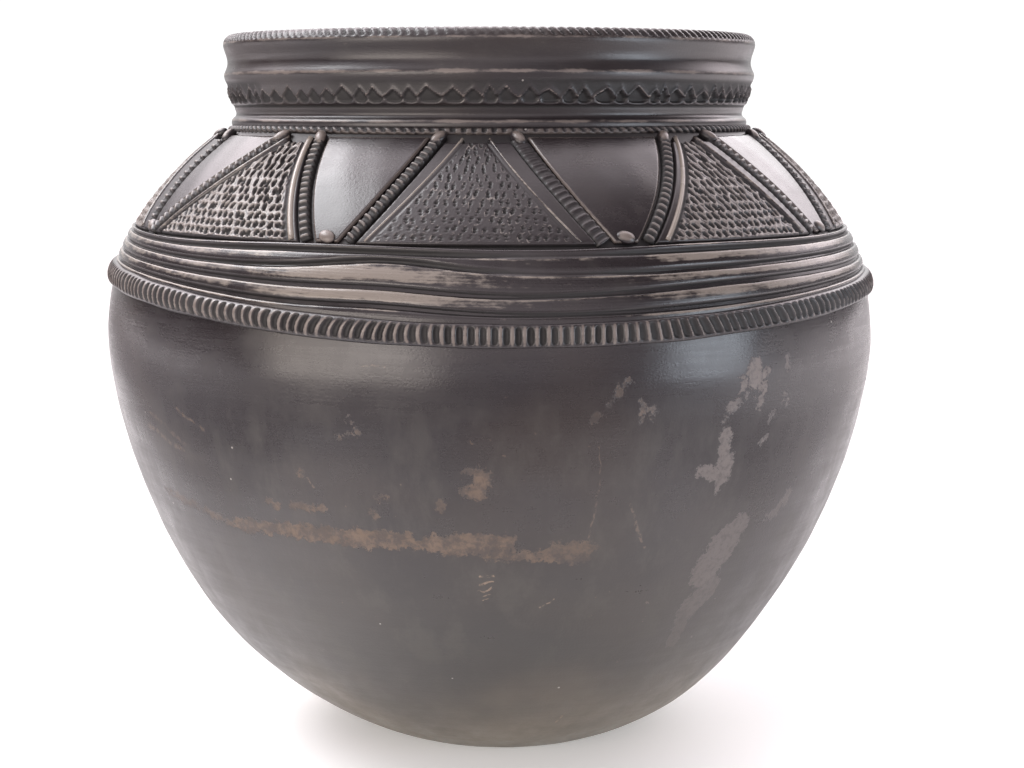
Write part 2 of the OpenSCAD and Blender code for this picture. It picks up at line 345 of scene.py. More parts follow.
# Scratches on the side in front: turn and height of both ends, half width in mm and strength. Each strays
# from its straight line by a few millimetres.
scratch_wander = 0.007
scratches = [
    (14.2, 181, 14.5, 168, 0.45, 0.30), (14.5, 168, 14.4, 150, 0.45, 0.35),
    (14.4, 150, 14.0, 132, 0.6, 0.38), (19.9, 149, 20.9, 139, 0.7, 0.40), (20.9, 139, 22.5, 128, 1.2, 0.40),
    (7.9, 98.9, 9.7, 103.5, 0.5, 0.9), (15.0, 25.8, 16.2, 33.2, 0.6, 0.7),
    (-48.2, 186, -42.6, 176.6, 0.9, 0.35), (-57.4, 173.2, -48.3, 164.4, 1.5, 0.28),
    (-56.0, 181, -47.5, 168.5, 1.2, 0.22), (-25.5, 160, -24.5, 156.3, 0.8, 0.5),
    (-16.6, 213.5, -13.0, 213.0, 0.5, 0.35), (-1.5, 115.5, 0.6, 117.2, 0.7, 1.0),
    (-1.3, 112.0, 0.5, 114.0, 0.7, 1.0), (-1.4, 108.6, 0.4, 110.4, 0.6, 1.0),
    (-1.2, 105.4, 0.2, 107.2, 0.6, 0.9), (-0.9, 102.8, -0.1, 103.9, 0.6, 0.9),
]


def bareness(turn, z):
    """How far inside a bare place each point lies, in mm: the half width of the nearest stripe less the
    distance to its middle line. The second value is that stripe's strength."""
    best = np.full(np.broadcast(turn, z).shape, no_bare_place)
    strength = np.ones(best.shape)
    for from_turn, from_z, to_turn, to_z, half_width, stripe_strength in bare_stripes:
        arc = np.radians(1) * wall_radius(np.asarray(from_z, float))
        along = np.array([(to_turn - from_turn) * arc, to_z - from_z])
        x = ((turn - from_turn + 180) % 360 - 180) * arc
        y = z - from_z
        share = np.clip((x * along[0] + y * along[1]) / (along @ along), 0, 1)
        inside = half_width - np.hypot(x - share * along[0], y - share * along[1])
        strength = np.where(inside > best, stripe_strength, strength)
        best = np.maximum(best, inside)
    return best, strength


def scratch(tree, seen, from_turn, from_z, to_turn, to_z, half_width, strength):
    """One scratch, as the share of pale clay at each point. It is a line in the plane of x and z. A point's
    distance to it is |q - t d|, with q from its start, d along it and t = q.d / d.d held from 0 to 1."""
    start, end = on_pot([from_turn, to_turn], [from_z, to_z], 0.0) * MM * np.array([1, 0, 1])
    along = end - start
    q = vectors(tree, "SUBTRACT", seen, start.tolist())
    share = vectors(tree, "DOT_PRODUCT", q, (along / (along @ along)).tolist(), "Value")
    share = add(tree, "ShaderNodeClamp", {"Value": share}).outputs[0]
    away = vectors(tree, "DISTANCE", q, vectors(tree, "SCALE", along.tolist(), share), "Value")
    return fade(tree, away, half_width * MM, 0.4 * half_width * MM, 0, strength)


def flaked(tree, place, clouds, colour, rough, height):
    """The wear of the body: dust and ash towards the foot, which are partly painted light bounced up from
    the floor, places where the black slip has come off down to the tan clay, small chips, and scratches
    that show pale."""
    sides = add(tree, "ShaderNodeSeparateXYZ", {"Vector": place}).outputs
    # Lighter towards the foot: ash and dust, partly painted light bounced up from the floor
    low = maths(tree, "MULTIPLY_ADD", clouds, -0.09, sides["Z"])
    ash_and_bounce_light = fade(tree, low, *ash_and_bounce_ends)
    colour = blend_colour(tree, maths(tree, "MULTIPLY", ash_and_bounce_light, ash_and_bounce_share), colour, ashy)
    colour = blend_colour(tree, fade(tree, low, *dust_and_bounce_ends, 0, dust_and_bounce_share), colour, dust_and_bounce_light)
    rough = maths(tree, "MULTIPLY_ADD", ash_and_bounce_light, 0.16, rough)

    # Blotches, which are faint in the sheen at the top
    blotches = noise(tree, place, 42.0, 5.0, (1.3, 1.3, 0.45), roughness=0.7)
    below_sheen = fade(tree, sides["Z"], *sheen_ends)
    uneven = maths(tree, "MULTIPLY_ADD", below_sheen, 0.35, 0.1)
    rough = maths(tree, "MULTIPLY_ADD", maths(tree, "SUBTRACT", blotches, 0.5), uneven, rough)
    spotted = maths(tree, "MULTIPLY", fade(tree, blotches, 0.47, 0.68, 0, 0.24), below_sheen)
    colour = blend_colour(tree, spotted, colour, ashy)

    # The black gone inside the bare places, with ragged edges, and in small chips anywhere
    lost = add(tree, "ShaderNodeAttribute", attribute_name="bare").outputs["Fac"]
    strength = add(tree, "ShaderNodeAttribute", attribute_name="strength").outputs["Fac"]
    ragged = noise(tree, place, 230.0, 5.0, roughness=0.78)
    ragged = maths(tree, "MULTIPLY_ADD", ragged, ragged_edge, -ragged_edge / 2 - 0.3)
    left_on = fade(tree, noise(tree, place, 420.0, 4.0, roughness=0.7), 0.36, 0.56, 0.55, 1.0)
    gone = maths(tree, "MULTIPLY", fade(tree, maths(tree, "ADD", lost, ragged), -0.4, 0.6), strength)
    gone = maths(tree, "MULTIPLY", gone, left_on)
    patches = noise(tree, place, 130.0, 4.0, roughness=0.7)
    tan = blend_colour(tree, fade(tree, patches, 0.4, 0.62), bare_clay, bare_brown)
    tan = blend_colour(tree, fade(tree, sides["X"], *grey_starts), tan, bare_grey)
    flakes = noise(tree, place, 210.0, 3.0, roughness=0.6)
    chips = fade(tree, maths(tree, "MULTIPLY_ADD", clouds, 0.25, flakes), 0.865, 0.885)
    open_clay = maths(tree, "MAXIMUM", gone, maths(tree, "MULTIPLY", chips, 0.5))
    colour = blend_colour(tree, open_clay, colour, tan)
    rough = maths(tree, "MULTIPLY_ADD", gone, 0.3, rough)
    height = maths(tree, "MULTIPLY_ADD", gone, -0.9, height)

    # Scratches, each straying a little and skipping here and there, on the side in front alone
    stray = add(tree, "ShaderNodeTexNoise", {"Vector": place, "Scale": 90.0, "Detail": 3.0})
    stray = vectors(tree, "SUBTRACT", stray.outputs["Color"], (0.5, 0.5, 0.5))
    bent = vectors(tree, "ADD", place, vectors(tree, "SCALE", stray, scratch_wander))
    seen = vectors(tree, "MULTIPLY", bent, (1, 0, 1))
    pale = 0.0
    for line in scratches:
        pale = maths(tree, "MAXIMUM", pale, scratch(tree, seen, *line))
    pale = maths(tree, "MULTIPLY", pale, fade(tree, sides["Y"], -0.02, -0.05))
    skipped = noise(tree, place, 300.0, 4.0, roughness=0.7)
    pale = maths(tree, "MULTIPLY", pale, fade(tree, skipped, 0.42, 0.58, 0, 0.7))
    return blend_colour(tree, pale, colour, scratched), rough, height


wall_turn = full_turn(wall_columns)
fine_z = np.linspace(0, shoulder_height - 1.5, 800)
outer_z = even_steps(wall_radius(fine_z), fine_z, wall_step)[1]
wall_out = -carved_depth * smooth_step(carved_from, carved_to, outer_z)
outer = on_pot(wall_turn, outer_z[:, None], wall_out[:, None])
inside_belly = belly_radius - wall_thickness
inside_neck = neck_radius - wall_thickness
inside_foot = foot_radius - wall_thickness / 2
inside_top = shoulder_height - wall_thickness / 3
fine_z = np.linspace(inside_top, floor_thickness, 600)
inside_r = np.where(fine_z < belly_height,
                    bowed(fine_z, inside_belly, inside_foot, floor_thickness, *lower_curve),
                    bowed(fine_z, inside_belly, inside_neck, inside_top, *upper_curve))
inside_r, inside_z = even_steps(inside_r, fine_z, inside_step)
inside_r = np.concatenate([[inside_neck + 8, inside_neck], inside_r])
inside_z = np.concatenate([[shoulder_height - 0.5, shoulder_height], inside_z])
inner = turned(wall_turn, inside_r[:, None], inside_z[:, None])
bare, strength = bareness(wall_turn, outer_z[:, None])
bare = np.concatenate([bare, np.full(inner.shape[:2], no_bare_place)])
strength = np.concatenate([strength, np.ones(inner.shape[:2])])
# Painted shade on the wall where it is sunk under the carving, in the channels between the laid-on pieces
wall_relief = np.concatenate([wall_out, np.zeros(len(inner))])[:, None] * carved_shade
wall = clay("wall", [(np.concatenate([outer, inner]), bare, strength, wall_relief)],
            burnished("burnished_wall", 0.28, worn=flaked, brushed=0.5),
            rows_close=False, columns_close=True, marks=("bare", "strength", "relief"))
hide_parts("pot")


# The neck and lip. A thick coil of clay luted to the shoulder and thrown outwards, with a sharp ridge
# pinched round its middle, a zigzag pressed with the corner of a stick below it, and a lip nicked all the
# way round.
neck_columns = 960
neck_step = 0.74
zigzag_round = 95
zigzag_height = 332.8
zigzag_swing = 4.4
zigzag_depth = 2.2
spike_foot = 327.8
spike_height = 3.6
lip_nicks = 190
lip_nick_depth = 1.7
lip_nick_foot = 358.6
lip_top = round(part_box("pot")[1].z / MM, 1) - 0.2
# Heights of the ridges with painted highlight lines, with how wide and how strong each is, and of the
# groove between, which gets painted shade
ridge_highlights = ((342.6, 0.9, 1.0), (319.6, 0.7, 1.0), (358.2, 0.8, 0.8))
shaded_groove = 326.4
# The last points of the outline lie inside the mouth, where nothing is pressed or rubbed
plain_points = 5
neck_outline = np.array([
    (131.5, 314.5), (134.3, 316.2), (134.5, 317.8), (134.5, 319.5), (133.8, 320.4), (132.0, 321.4),
    (131.8, 323.0), (133.0, 325.6), (132.4, 326.4), (134.0, 327.2), (135.7, 331.5), (136.6, 336.5),
    (138.0, 341.2), (138.2, 342.6), (136.9, 345.0), (136.0, 348.0), (136.5, 351.5), (137.6, 354.6),
    (138.4, 357.2), (138.0, 359.6), (136.6, 361.6), (134.8, lip_top), (132.6, lip_top), (130.6, 361.2),
    (129.6, 358.0),
])
neck_inside = np.array([(129.4, 355.0), (127.2, 343.0), (123.4, 325.0), (123.2, 317.0), (126.0, 315.0)])


def softened(line, passes):
    """Rounds a line's corners: each point moves halfway to the mean of its neighbours, a few times over."""
    line = line.copy()
    for _ in range(passes):
        line[1:-1] += 0.5 * ((line[:-2] + line[2:]) / 2 - line[1:-1])
    return line


def hand_noise(turn, seed, waves=7, fastest=14):
    """A smooth hand's wavering round the pot, about -1 to 1: the sum of a few sines, each with its own
    height, start and whole number of waves, over 0.45 times their count."""
    draw = np.random.default_rng(seed)
    a = np.radians(turn)
    total = 0.0
    for _ in range(waves):
        height, count = draw.uniform(0.4, 1), draw.integers(1, fastest + 1)
        total = total + height * np.sin(count * a + draw.uniform(0, 6.28))
    return total / (0.45 * waves)


def tooth(x):
    """A triangle wave from 0 to 1 with a period of 1, which is 1 at whole numbers."""
    return np.abs(2 * (x - np.floor(x)) - 1)


def bell(x, middle, width):
    """1 in the middle and falling away to both sides as exp(-((x - middle) / width)^2)."""
    return np.exp(-((x - middle) / width) ** 2)


def between(x, start, full, fading, end):
    """Rises smoothly from 0 at start to 1 at full, and falls back from fading to 0 at end."""
    return smooth_step(start, full, x) * (1 - smooth_step(fading, end, x))


def zigzag(turn, z):
    """Depth of the pressed zigzag, and how near each point is to one of its sharp lines. A zigzag line
    stands between shallow hollows above it and dark pits below, spikes rise between the pits from the lower
    edge, and a thin tick leans up from each valley. The pits are deepest at the right and shallow in front,
    and the upper half is rubbed smooth at the left."""
    place = turn * zigzag_round / 360 + 0.35 * hand_noise(turn, 5, 9, 46)
    tall = 1 + 0.35 * hand_noise(turn, 16, 9, 70)
    ridge = zigzag_height + zigzag_swing * tall * (tooth(place) - 0.45) + 0.8 * hand_noise(turn, 6, 9, 60)
    spikes = spike_foot + spike_height * tooth(place + 0.42) ** 5
    left = 1 - smooth_step(-72, -58, turn)
    pressed = 0.45 + 0.55 * np.maximum(between(turn, 4, 24, 130, 178), 0.8 * left)
    rubbed_flat = between(turn, -58, -52, -36, -30)
    above = smooth_step(0.3, 1.1, z - ridge) * (1 - smooth_step(336.8, 339.8, z)) * (1 - rubbed_flat)
    below = smooth_step(0.2, 0.9, ridge - z) * smooth_step(0.0, 0.8, z - spikes)
    depth = zigzag_depth * pressed * (0.3 * above + below * (1 - 0.3 * rubbed_flat))
    tick = bell(tooth(place + 0.5 + 0.11 * (z - 332)), 1, 0.16)
    tick = tick * smooth_step(-0.5, 0.5, z - ridge) * (1 - smooth_step(336, 338, z)) * (1 - rubbed_flat)
    lines = np.clip(bell(z, ridge, 0.5) + 0.6 * bell(z, spikes, 0.5) + 0.7 * tick, 0, 1)
    return depth - 0.5 * lines * pressed, lines


def nicks(turn, z):
    """Depth of the nicks on the outer edge of the lip: slanted cuts from their foot to the top."""
    place = turn * lip_nicks / 360 + 0.16 * (z - 360) + 0.1 * hand_noise(turn, 8, 9, 60)
    cut = smooth_step(0.5, 0.85, 1 - tooth(place))
    edge = smooth_step(lip_nick_foot, lip_nick_foot + 1, z)
    return lip_nick_depth * cut * edge * (0.55 + 0.45 * hand_noise(turn, 9, 6, 9))


outline = np.stack(even_steps(neck_outline[:, 0], neck_outline[:, 1], neck_step), axis=-1)
outline = softened(outline, 3)
neck_section = np.concatenate([outline, neck_inside])
neck_turn = full_turn(neck_columns)
section_z = neck_section[:, 1][:, None]
outside = (np.arange(len(neck_section)) < len(outline) - plain_points)[:, None]
zigzag_in, sharp_lines = zigzag(neck_turn, section_z)
nicked_in = nicks(neck_turn, section_z)
pressed_in = np.where(outside, zigzag_in + nicked_in, 0.0)
neck_wave = 0.35 * hand_noise(neck_turn, 11, 5, 4)
neck_out = neck_section[:, 0][:, None] - pressed_in + neck_wave
neck_drop = np.where(section_z > lip_nick_foot + 0.8, 0.6 * pressed_in, 0.0)
neck_points = turned(neck_turn, neck_out, section_z - neck_drop)
# Painted highlights along the ridges and the sharp zigzag lines, partly rubbing wear, and painted shade in
# the zigzag hollows, the nicks and the groove
ridge_highlight = sum(share * bell(section_z, height, width) for height, width, share in ridge_highlights)
worn_highlit_lines = sharp_lines * (0.55 + 0.35 * hand_noise(neck_turn, 19, 9, 90))
neck_relief = ridge_highlight * (0.6 + 0.4 * hand_noise(neck_turn, 18, 9, 40))
neck_relief = neck_relief + worn_highlit_lines - 1.35 * np.clip(zigzag_in / zigzag_depth, 0, 1) ** 0.5
neck_relief = np.where(outside, neck_relief - 1.2 * nicked_in / lip_nick_depth, 0.0)
neck_relief = neck_relief - 0.9 * bell(section_z, shaded_groove, 0.6) * outside
clay("neck", [(neck_points, neck_relief)], burnished("burnished_neck", 0.34, rubbed_highlight_share=0.75),
     columns_close=True)


# The rope round the foot of the neck. A thin roll of clay pressed over the joint and nicked with slanting
# cuts.
rope_columns = 1620
rope_rows = 14
rope_nicks = 180
rope_height = 315.0
rope_half_width = 1.9
rope_depth = 1.9
rope_radius = 134.2
rope_thickness = 2.2
rope_turn = full_turn(rope_columns)
around = np.radians(np.arange(rope_rows) * 360 / rope_rows - 90)[:, None]
rope_z = rope_height + 0.4 * hand_noise(rope_turn, 21, 5, 6) + rope_half_width * np.sin(around)
slant = 0.22 * smooth_step(6, 18, np.abs(rope_turn - 2))
cuts = rope_turn * rope_nicks / 360 + slant * (rope_z - rope_height)
cuts = cuts + 0.12 * hand_noise(rope_turn, 22, 9, 70)
rope_worn = 1 - 0.5 * between(rope_turn, 0, 4, 17, 26)
rope_cut = smooth_step(0.4, 0.8, 1 - tooth(cuts)) * rope_worn
rope_cut = rope_cut * (0.85 + 0.2 * hand_noise(rope_turn, 23, 8, 50))
one_sided = between(rope_turn, -56, -46, 30, 40)
rope_cut = rope_cut * (1 - 0.85 * one_sided * (1 - smooth_step(-0.15, 0.35, np.sin(around))))
rope_out = rope_radius + rope_thickness * np.cos(around)
rope_out = rope_out - rope_depth * rope_cut * np.clip(np.cos(around) + 0.3, 0, 1)
# Painted highlight on the outer crown, and painted shade in the cuts
rope_relief = 0.8 * (1 - rope_cut) * np.cos(around) - 2.2 * rope_cut
clay("neck_rope", [(turned(rope_turn, rope_out, rope_z), rope_relief)],
     burnished("burnished_rope", 0.42, rubbed_highlight_share=0.4), columns_close=True)


# The layout of the shoulder. Nine triangles were marked out by eye, so those in front differ a little. Each
# row gives the middle's turn, then how far to the side the left strap, left fillet, right fillet and right
# strap lie from it, at their top and at their foot, in degrees.
triangles = [
    (-160.5, -6.5, -18, -2.5, -15, 2.5, 15, 7, 18),
    (-121, -7, -18, -2.5, -15, 2.5, 14.5, 7, 17.5),
    (-81.5, -6.5, -17.5, -2.5, -14.5, 3, 12, 14.5, 15.5),
    (-41.5, -3, -21.5, -0.5, -18.5, 5, 12.6, 7.5, 15),
    (-2, -7.5, -18, -3, -15.5, 2, 14.6, 7.3, 18),
    (40.5, -5.5, -18, -2.5, -15, 2.5, 13, 7.4, 16.5),
    (80, -11, -16, -5.5, -12, 2.5, 14, 7.5, 18),
    (120, -6.5, -18, -2.5, -15, 2.5, 15, 7, 18),
    (160, -7, -17.5, -3, -14.5, 2.5, 15, 6.5, 18),
]
strap_top_height = 311.5
strap_foot_height = 267.0
strap_half_width = 2.9
# The three triangles in front have finer grids, and one of them is the most worn
front_triangles = (3, 4, 5)
worn_triangle = 4
# Everything laid on the wall has its underside sunk in it, where its mark counts as a hollow with painted
# shade
bedded = -3.5
shaded_hollow = -1.0


def sideways(width, z):
    """The turn, in degrees, that a width in mm takes at a height on the wall."""
    return np.degrees(width / wall_radius(np.asarray(z, float)))


def line_turn(triangle, line, z):
    """Turn of one of a triangle's four lines at a height, straight from its top to its foot."""
    top, foot = triangle[1 + 2 * line], triangle[2 + 2 * line]
    share = (z - strap_foot_height) / (strap_top_height - strap_foot_height)
    return triangle[0] + foot + (top - foot) * share


def spread(count, crowd):
    """Numbers from 0 to 1 that crowd towards both ends."""
    x = np.linspace(0, 1, count)
    return (1 - crowd) * x + crowd * (0.5 - 0.5 * np.cos(math.pi * x))


def plate(left, right, bottom, top, rise, columns, rows, crowd=0.5):
    """A plate laid on the wall between two lines and two heights: its top surface stands out by rise, and
    its underside is bedded in the wall. left and right give the turn at a height."""
    across = spread(columns, crowd)[None]
    z = (bottom + (top - bottom) * spread(rows, crowd))[:, None]
    turn = left(z) + (right(z) - left(z)) * across
    out, relief = rise(turn, z, left(z), right(z))
    under = z[[-1, rows // 2, 0]]
    under_turn = left(under) + (right(under) - left(under)) * across
    points = np.concatenate([on_pot(turn, z, out), on_pot(under_turn, under, bedded)])
    return points, np.concatenate([relief, np.full(under_turn.shape, shaded_hollow)])


# The plain panels between the triangles. Smooth faces of the shoulder left standing when the channels
# beside the straps were cut, rubbed to the highest shine on the pot, with their edges rounded by the
# rubbing.
panel_rise = 0.7
panel_edge = 1.7
panel_gap = 4.4
panel_top = 312.6
panel_bottom = 266.3
panel_grid = (64, 48)


def panel_surface(turn, z, left, right):
    """Height of a panel: flat, falling in a quarter round over the last millimetres at each side."""
    arc = np.radians(1) * wall_radius(z)
    away = np.minimum((turn - left) * arc, (right - turn) * arc)
    away = np.minimum(away, np.minimum(panel_top - z, z - panel_bottom) * 1.3)
    fall = 1 - np.clip(away / panel_edge, 0, 1)
    out = panel_rise - (panel_rise + carved_depth) * (1 - np.sqrt(np.clip(1 - fall ** 2, 0, 1)))
    out = out + 0.05 * np.sin(turn * 0.9 + z / 7)
    # The mark gives painted highlight along the rounded edges, partly rubbing wear, and painted shade at
    # their foot
    return out, bell(away, 0.7, 0.6) * 1.1 - 1.2 * (fall > 0.97)


def following(k):
    """The triangle after triangle k, with its middle's turn counted on past the back."""
    middle, *lines = triangles[(k + 1) % len(triangles)]
    return (middle + (360 if k == len(triangles) - 1 else 0), *lines)


panels = []
for k, triangle in enumerate(triangles):
    panels.append(plate(
        lambda z, t=triangle: line_turn(t, 3, z) + sideways(panel_gap, z),
        lambda z, t=following(k): line_turn(t, 0, z) - sideways(panel_gap, z),
        panel_bottom, panel_top, panel_surface, *panel_grid))
clay("shoulder_panels", panels, burnished("polished_panel", 0.26, brushed=0.25))


# The punched fields inside the triangles. The clay was pricked in rows with the end of a cut reed while
# it was leather hard, and each prick pushed up a small lip on one side.
field_grid = (140, 104)
rear_field_grid = (100, 74)
prick_row = 4.7
prick_pitch = 4.2
prick_depth = 1.8
prick_lip = 0.6
field_base = 0.5
field_gap = 4.1
field_border = 3.0
field_bottom = 265.8
field_top = 309.5
prick_jitter = np.random.default_rng(31).uniform(-1, 1, (len(triangles), 16, 40, 4))
# For each triangle: how crisp its pricks are, how far they lean, and their half width as a share of the
# pitch
field_wear = (0.8, 0.9, 1.0, 1.05, 0.5, 1.0, 1.0, 0.85, 0.9)
field_lean = (0.2, -0.1, 0.2, -0.12, 0.1, -0.42, -0.2, 0.1, 0.3)
prick_width = (0.33, 0.37, 0.37, 0.37, 0.2, 0.33, 0.33, 0.33, 0.33)
# The rows follow the slope of the shoulder, which is this much longer than its height
shoulder_climb = 1.28


def pricked(turn, z, which):
    """Height of a pricked field. Every point looks at the nine nearest pricks: each is an oval hollow,
    depth times (1 - d^2)^0.55, with a lip round one side at d = 1.15, where d is the distance in ovals."""
    x = (turn - triangles[which][0]) * np.radians(1) * wall_radius(z)
    y = (z - field_bottom) * shoulder_climb - 1.6
    row = np.floor(y / prick_row).astype(int)
    deepest = np.zeros(x.shape)
    highest = np.zeros(x.shape)
    for row_step in (-1, 0, 1):
        r = row + row_step
        shift = 0.5 * (r % 2) * prick_pitch + 0.9 * r * field_lean[which]
        column = np.floor((x - shift) / prick_pitch).astype(int)
        for column_step in (-1, 0, 1):
            c = column + column_step
            jitter = prick_jitter[which, r % 16, c % 40]
            u = x - shift - (c + 0.5 + 0.2 * jitter[..., 0]) * prick_pitch
            v = y - (r + 0.5 + 0.12 * jitter[..., 1]) * prick_row
            lean = field_lean[which] + 0.25 * jitter[..., 2]
            tall = 0.41 + 0.016 * np.clip(r, 0, 9) + 0.05 * jitter[..., 3]
            u = u - lean * v
            d = np.hypot(u / (prick_width[which] * prick_pitch), v / (tall * prick_row))
            side = 0.5 - 0.5 * (u / (np.hypot(u, v) + 0.01)) * (1 if field_lean[which] > 0 else -1)
            hollow = np.clip(1 - d ** 2, 0, 1) ** 0.55 * (0.85 + 0.15 * jitter[..., 3])
            deepest = np.maximum(deepest, hollow)
            highest = np.maximum(highest, bell(d, 1.15, 0.22) * (0.35 + 0.65 * side))
    wear = field_wear[which]
    rise = highest * (1 - np.clip(deepest * 3, 0, 1))
    if which == worn_triangle:
        deepest = deepest * smooth_step(0.3, 0.7, 0.5 + 0.5 * hand_noise(turn * 9 + z * 23, 71, 9, 20))
    out = wear * (prick_lip * wear * rise - prick_depth * deepest)
    # The mark gives painted highlight on the lips and the net between the pricks, and painted shade in the
    # pricks
    net = 0.4 + 1.1 * rise - 2.6 * deepest
    return out, net * wear + (1 - wear) * (0.3 * rise - 1.8 * deepest - 0.3)


def field_surface(which):
    def surface(turn, z, left, right):
        """Height of a field: a plain border under each fillet, a narrow groove, and the pricks inside it.
        The edges are cut down to the channels beside the straps."""
        arc = np.radians(1) * wall_radius(z)
        away = np.minimum((turn - left) * arc, (right - turn) * arc)
        away = np.minimum(away, np.minimum(field_top + 2 - z, z - field_bottom) * 1.3)
        left_fillet = line_turn(triangles[which], 1, z)
        right_fillet = line_turn(triangles[which], 2, z)
        from_fillet = np.minimum((turn - left_fillet) * arc, (right_fillet - turn) * arc)
        inside = smooth_step(field_border, field_border + 1.2, from_fillet)
        inside = inside * smooth_step(0.4, 1.6, z - field_bottom)
        inside = inside * (1 - smooth_step(-1.2, 1.0, z - field_top))
        groove_beside = bell(from_fillet, 2.5, 0.8) * (0.4 if which == worn_triangle else 1.0)
        out, relief = pricked(turn, z, which)
        fall = (field_base + carved_depth) * (1 - np.clip(away, 0, 1)) ** 2
        out = field_base + out * inside - fall - 0.8 * groove_beside
        # Painted shade in the groove beside the fillets and along the cut edges
        return out, relief * inside - 0.1 - 0.7 * groove_beside - 1.2 * (away < 0.25)
    return surface


field_finish = burnished("pricked_field", 0.36, rubbed_highlight_share=0.9, shine=grey_rubbed_highlight)
for k, triangle in enumerate(triangles):
    columns, rows = field_grid if k in front_triangles else rear_field_grid
    field = plate(
        lambda z, t=triangle: line_turn(t, 0, z) + sideways(field_gap, z),
        lambda z, t=triangle: line_turn(t, 3, z) - sideways(field_gap, z),
        field_bottom, field_top, field_surface(k), columns, rows, crowd=0.05)
    clay(f"pricked_field_{k + 1}", [field], field_finish)


# The ladder straps. Each triangle's sides are rolls of clay pressed on and notched across like a ladder,
# with a plain thin fillet beside each on the inner side.
rung_pitch = 3.8
rung_depth = 1.35
strap_rise = 2.1
fillet_half_width = 1.6
fillet_rise = 1.5
roll_foot = -carved_depth - 0.3
# Odd ones, by triangle and line: the strap that is rubbed nearly flat, with its sizes, the thick fillet,
# and the brightest fillets
worn_strap = (4, 3)
worn_strap_half_width = 4.2
worn_strap_rise = 0.9
thick_fillet = (3, 2)
brightest = (thick_fillet, (5, 1), (4, 1))


def strip(turn, z, half_width, section_rows, rise, relief_of):
    """A roll of clay along a line on the wall. Each place along the line has a section across it: from the
    right edge over the crown to the left edge, w = half width times cos, then back underneath."""
    middle = on_pot(turn, z, 0)
    outward = on_pot(turn, z, 1) - middle
    along = np.gradient(middle, axis=0)
    length = np.concatenate([[0], np.cumsum(np.linalg.norm(np.diff(middle, axis=0), axis=1))])
    along /= np.linalg.norm(along, axis=1)[:, None]
    side = np.cross(along, outward)
    across = np.cos(np.linspace(0, math.pi, section_rows))[:, None]
    out = rise(across, length[None])
    under = np.array([-0.8, 0.0, 0.8])[:, None]
    width = np.concatenate([across, under]) * half_width
    out = np.concatenate([out, np.full((3, len(turn)), bedded)])
    points = middle[None] + side[None] * width[..., None] + outward[None] * out[..., None]
    relief = np.concatenate([relief_of(across, length[None]), np.full((3, len(turn)), shaded_hollow)])
    return points, relief


def ladder(seed, height, notched, tops):
    """Height and relief of a notched strap: thin rungs, a little bowed, with hollows between them. notched
    is the share of their depth that the hollows keep, and tops how strong the painted highlight on the
    rungs is, partly rubbing wear. The hollows and the roll's edges get painted shade."""
    draw = np.random.default_rng(seed)
    phase, sway = draw.uniform(0, 1), draw.uniform(0.05, 0.12)

    def rung(across, length):
        place = length / rung_pitch + phase + sway * np.sin(length / 5) + 0.12 * across ** 2 + 0.06 * across
        return smooth_step(0.36, 0.82, 1 - tooth(place))

    def rise(across, length):
        crown = np.clip(1 - np.abs(across) ** 4.5, 0, 1) ** 0.6
        body = roll_foot + (height - roll_foot) * crown
        return body - rung_depth * notched * (1 - rung(across, length)) * crown

    def relief(across, length):
        crown = np.clip(1 - np.abs(across) ** 4, 0, 1)
        hollow = 1.1 * (1 - rung(across, length)) * notched
        return crown * (tops * rung(across, length) - hollow) - 1.3 * (1 - crown)

    return rise, relief


def smooth_roll(height, shine):
    """Height and relief of a plain roll with a round crown, given painted highlight by its share of shine,
    partly rubbing wear, and painted shade at its edges.
    """
    def rise(across, length):
        crown = np.sqrt(np.clip(1 - across ** 2, 0, 1))
        return roll_foot + (height - roll_foot) * crown + 0 * length

    def relief(across, length):
        return shine * (1 - across ** 2) - 1.1 * across ** 6 + 0 * length

    return rise, relief


straps = []
fillets = []
for k, triangle in enumerate(triangles):
    z = strap_foot_height + (strap_top_height - strap_foot_height) * np.linspace(0, 1, 136)
    for line in (0, 3):
        seed = 100 + 10 * k + line
        if (k, line) == worn_strap:
            half_width, surfaces = worn_strap_half_width, ladder(seed, worn_strap_rise, 0.35, 0.1)
        else:
            half_width, surfaces = strap_half_width, ladder(seed, strap_rise, 1.0, 1.0)
        straps.append(strip(line_turn(triangle, line, z), z, half_width, 17, *surfaces))
    z = z[::5]
    for line in (1, 2):
        thickness = 1.35 if (k, line) == thick_fillet else 0.6 if k == worn_triangle else 1.0
        shine = 1.5 if (k, line) in brightest else 0.45
        surfaces = smooth_roll(fillet_rise * min(1.0, thickness), shine)
        fillets.append(strip(line_turn(triangle, line, z), z, fillet_half_width * thickness, 11, *surfaces))
clay("ladder_straps", straps, burnished("notched_strap", 0.36, rubbed_highlight_share=0.6, shine=grey_rubbed_highlight))
clay("plain_fillets", fillets,
     burnished("polished_fillet", 0.26, rubbed_highlight_share=0.9, brushed=0.3, shine=pale_rubbed_highlight))


# The pellets. Small balls of clay thumbed on over the top end of every strap and between the feet of two
# neighbouring straps, where they hide the joints. The sizes are half a width, half a length and a rise.
top_pellet = (2.9, 5.2, 2.8)
foot_pellet = (4.6, 3.2, 2.3)


